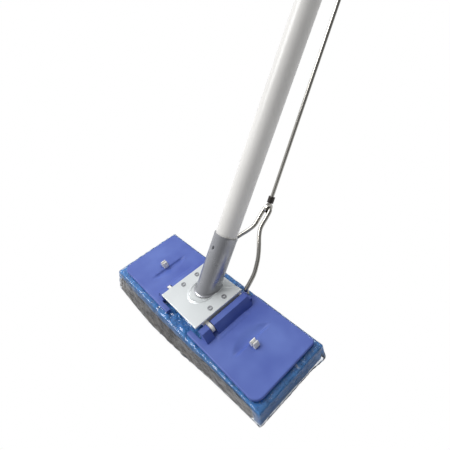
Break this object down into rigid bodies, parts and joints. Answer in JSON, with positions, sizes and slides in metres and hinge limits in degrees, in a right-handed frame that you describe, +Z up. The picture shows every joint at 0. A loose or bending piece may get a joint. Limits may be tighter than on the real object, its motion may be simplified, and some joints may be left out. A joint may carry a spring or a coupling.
{
  "type": "sponge mop",
  "caption": "Butterfly sponge mop: folding blue head with a sponge refill, leaning round handle, pull rod and wishbone yoke that wring the head from a lever.",
  "frame": {"origin": "centre of the mop's working face, straight below the middle of the centre plate, on the floor line", "axes": "+X along the head towards the right wing, +Y to the rear, where the handle leans, +Z up, out of the working face"},
  "size_m": [0.2398, 0.7908, 1.021],
  "materials": {
    "blue_plastic": "moulded blue-violet plastic, satin",
    "white_plastic": "white moulded plastic",
    "zinc_plate": "bright zinc-plated pressed steel",
    "socket_metal": "grey plated steel sleeve",
    "bright_wire": "polished steel wire",
    "dark_crimp": "dark crimped sleeve",
    "white_coating": "white coated steel tube",
    "grey_grip": "grey grip and cap plastic",
    "blue_sponge": "blue foam sponge",
    "scrub_strip": "mottled grey-brown scrubbing fleece",
    "clear_film": "clear wrapping film"
  },
  "bodies": {
    "handle": {"centre_plate": "zinc_plate", "plate_rivets": "zinc_plate", "hinge_block": "white_plastic", "hinge_pins": "bright_wire", "socket_collar": "zinc_plate", "pole_socket": "socket_metal", "socket_rivet": "socket_metal", "handle_pole": "white_coating", "hand_grip": "grey_grip", "hang_cap": "grey_grip", "lever_bracket": "zinc_plate", "bracket_rivets": "socket_metal", "lever_pivot_pin": "bright_wire", "sponge_middle": "blue_sponge", "scrub_strip_middle": "scrub_strip", "wrap_film_middle": "clear_film"},
    "right_wing": {"wing_right": "blue_plastic", "refill_back_right": "white_plastic", "sponge_right": "blue_sponge", "scrub_strip_right": "scrub_strip", "wrap_film_right": "clear_film"},
    "left_wing": {"wing_left": "blue_plastic", "refill_back_left": "white_plastic", "sponge_left": "blue_sponge", "scrub_strip_left": "scrub_strip", "wrap_film_left": "clear_film"},
    "rod": {"pull_rod": "bright_wire", "rod_crimp": "dark_crimp", "rod_pin": "bright_wire"},
    "yoke": {"yoke_wire": "bright_wire"},
    "lever": {"lever": "zinc_plate", "lever_grip": "grey_grip"}
  },
  "joints": [
    {"name": "right_fold", "type": "hinge", "parent": "handle", "child": "right_wing", "pos_m": [0.036, 0, 0.0355], "axis": [0, 1, 0], "range_deg": [0, 90], "deforming": ["sponge_middle", "scrub_strip_middle", "wrap_film_middle"]},
    {"name": "left_fold", "type": "hinge", "parent": "handle", "child": "left_wing", "pos_m": [-0.036, 0, 0.0355], "axis": [0, 1, 0], "range_deg": [-90, 0], "deforming": ["sponge_middle", "scrub_strip_middle", "wrap_film_middle"]},
    {"name": "rod_pull", "type": "slide", "parent": "handle", "child": "rod", "axis": [0, 0.5532, 0.8331], "range_m": [0, 0.00798]},
    {"name": "yoke_swing", "type": "hinge", "parent": "rod", "child": "yoke", "pos_m": [0, 0.1058, 0.0872], "axis": [1, 0, 0], "range_deg": [-4.44, 0]},
    {"name": "lever_pull", "type": "hinge", "parent": "handle", "child": "lever", "pos_m": [0, 0.47235, 0.61838], "axis": [-1, 0, 0], "range_deg": [0, 38.14]}
  ],
  "couplings": [
    {"joint": "right_fold", "follows": "rod_pull", "rad_per_m": 196.84},
    {"joint": "left_fold", "follows": "rod_pull", "rad_per_m": -196.84},
    {"joint": "yoke_swing", "follows": "rod_pull", "rad_per_m": -9.7118},
    {"joint": "lever_pull", "follows": "rod_pull", "rad_per_m": 83.333}
  ]
}
